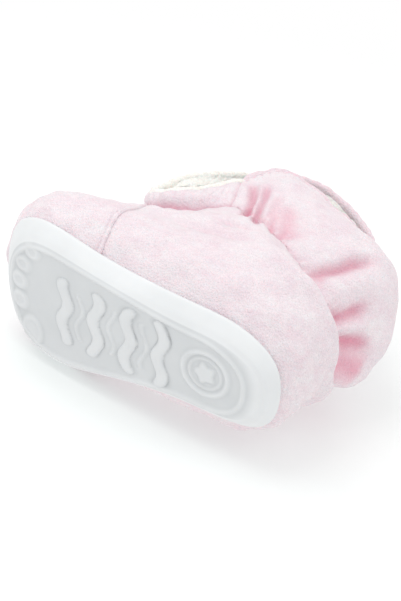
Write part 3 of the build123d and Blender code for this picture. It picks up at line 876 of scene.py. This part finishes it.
def tapered(rounded):
    """How a roll's radius goes to a point at its ends, from a value that is 0 past them and 1 inside."""
    return np.sqrt(np.clip(rounded, 0.02, 1))


rim_u = np.linspace(1.95, 10.05, 420)
plump = 1.75 + 0.12 * np.sin(rim_u * 9.0) + 0.10 * np.sin(rim_u * 23.0 + 1)
plump *= tapered(smooth(1.93, 2.15, rim_u) * smooth(10.07, 9.85, rim_u))
rolled("rolled_hem", "collar_hem", [tube(on_cloth(rim_u, 8.97, -1.15), plump, 20)], velour,
       0.16)

# across the throat the lining turns outward over the elastic in a cream roll
front_u = np.linspace(-2.12, 2.12, 220)
plump = 1.9 + 0.12 * np.sin(front_u * 17.0) + 0.08 * np.sin(front_u * 41.0 + 1)
plump *= tapered(smooth(2.14, 1.8, np.abs(front_u)))
rolled("throat_lining_roll", "collar_lining", [tube(on_cloth(front_u, 8.93, -0.55), plump, 20)], fleece,
       0.10)

welts = []
for which in (0, 1):
    v_line = np.linspace(0.95, 6.9, 200)
    plump = 0.95 + 0.10 * np.sin(v_line * 11 + which) + 0.06 * np.sin(v_line * 27)
    plump *= tapered(smooth(0.9, 1.15, v_line) * smooth(6.95, 6.6, v_line))
    welts.append(tube(on_cloth(seam_at(v_line, which), v_line, -0.10), plump, 14, (1.0, 0, 0)))
rolled("seam_welt", "vamp_seam_welt", welts, velour, 0)

# name, node, then the u's, the v, mm off the cloth, and the stitches' length, gap and radius in mm
for name, node_name, u, v, *sewn in (
        ("ankle_gather_stitches", "ankle_stitching", np.linspace(2.2, 9.8, 1200), ANKLE, -0.15, 2.0, 1.1,
         0.22),
        ("hem_stitches", "hem_stitching", np.linspace(2.1, 9.9, 1200), 8.80, 0.0, 2.0, 1.2, 0.20),
        ("strobel_stitches", "strobel_stitching", np.linspace(0, 12, 1400), 0.35, -0.4, 3.0, 1.4, 0.28)):
    piece = joined(name, stitches(u, np.full_like(u, v), *sewn), thread)
    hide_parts(node_name)

# %% [markdown]
# ## Stage
# From the camera the bootie lies on its inner side on white paper. That plane is seen from one side only, and
# so is a second one under the tread, so that from any other angle the bootie stands on a floor as well.


# %% Floors
def paper(name, origin, normal, size, fade):
    """A one-sided round sheet of white paper that fades out between two radii in mm, seen by the camera
    only."""
    turn_to = Vector(normal).normalized().to_track_quat("Z", "Y")
    sides = 64
    points = [Vector((0, 0, 0))] + [Vector((size * math.cos(a), size * math.sin(a), 0))
                                    for a in np.arange(sides) * 2 * math.pi / sides]
    mesh = bpy.data.meshes.new(name)
    mesh.from_pydata([(turn_to @ p + Vector(origin)) * MM for p in points], [],
                     [(0, i, i % sides + 1) for i in range(1, sides + 1)])
    sheet = bpy.data.objects.new(name, mesh)
    bpy.context.collection.objects.link(sheet)
    material, tree, surface, place = new_material(name)
    apart = node(tree, "VectorMath", [(0, place)], operation="DISTANCE", in_1=tuple(Vector(origin) * MM))
    far = node(tree, "MapRange", [("Value", apart.outputs["Value"])], interpolation_type="SMOOTHERSTEP",
               in_From_Min=fade[0] * MM, in_From_Max=fade[1] * MM)
    back_side = node(tree, "NewGeometry").outputs["Backfacing"]
    hidden = node(tree, "Math", [(0, far.outputs[0]), (1, back_side)], operation="MAXIMUM")
    clear = node(tree, "BsdfTransparent")
    fibre = node(tree, "TexNoise", [("Vector", place)], in_Scale=1 / (30 * MM), in_Detail=2.0)
    tone = node(tree, "Mix", [("Factor", fibre.outputs[0])], data_type="RGBA", in_6=hue("#F8FBFA"),
                in_7=hue("#F3F6F5"))
    dress(tree, surface, Base_Color=tone.outputs[2], Roughness=0.9, Specular_IOR_Level=0.1)
    mixed = node(tree, "MixShader", [(0, hidden.outputs[0]), (1, surface.outputs[0]), (2, clear.outputs[0])])
    output = [n for n in tree.nodes if n.type == "OUTPUT_MATERIAL"][0]
    tree.links.new(mixed.outputs[0], output.inputs[0])
    mesh.materials.append(material)
    sheet.visible_diffuse = sheet.visible_glossy = sheet.visible_transmission = False
    sheet.visible_shadow = False


LYING = Vector((0.985, 0.060, 0.110)).normalized()  # which way is up when it lies on its inner side
body_points = np.concatenate([skin.reshape(-1, 3), points])
how_high = body_points @ np.array(LYING)
heart = Vector((0, 12, 36))
under_side = heart + (float(how_high.min()) - heart.dot(LYING)) * LYING
FLOOR_SIZE, FADE = 420, (130, 330)
paper("photo_floor", under_side, LYING, FLOOR_SIZE, FADE)
paper("standing_floor", (0, 5, 0), (0, 0, 1), FLOOR_SIZE, FADE)
print("lies on", body_points[how_high.argmin()].round(1))


# %% Light
def area_light(name, place, aim, size, watts):
    """A white disc of light, size metres across; place and aim are in millimetres."""
    lamp = bpy.data.lights.new(name, "AREA")
    lamp.shape, lamp.size, lamp.energy = "DISK", size, watts
    holder = bpy.data.objects.new(name, lamp)
    way = (Vector(aim) - Vector(place)).normalized()
    holder.rotation_mode = "QUATERNION"
    holder.rotation_quaternion = way.to_track_quat("-Z", "Y")
    holder.location = Vector(place) * MM
    bpy.context.collection.objects.link(holder)


focus = Vector((2, 10, 40))
area_light("key", focus + 650 * (0.9 * top + 0.45 * back - 0.25 * right), focus, 0.55, 1.15)
area_light("fill", focus + 700 * (0.3 * top + 0.7 * back + 0.7 * right), focus, 0.6, 0.25)
area_light("standing_key", focus + Vector((-320, -380, 560)), focus, 0.6, 0.45)
world = bpy.data.worlds.new("studio")
bpy.context.scene.world = world
world.use_nodes = True
background = world.node_tree.nodes["Background"]
background.inputs["Color"].default_value = hue("#FFFFFF")
background.inputs["Strength"].default_value = 1.0
bpy.context.scene.view_settings.view_transform = "Standard"
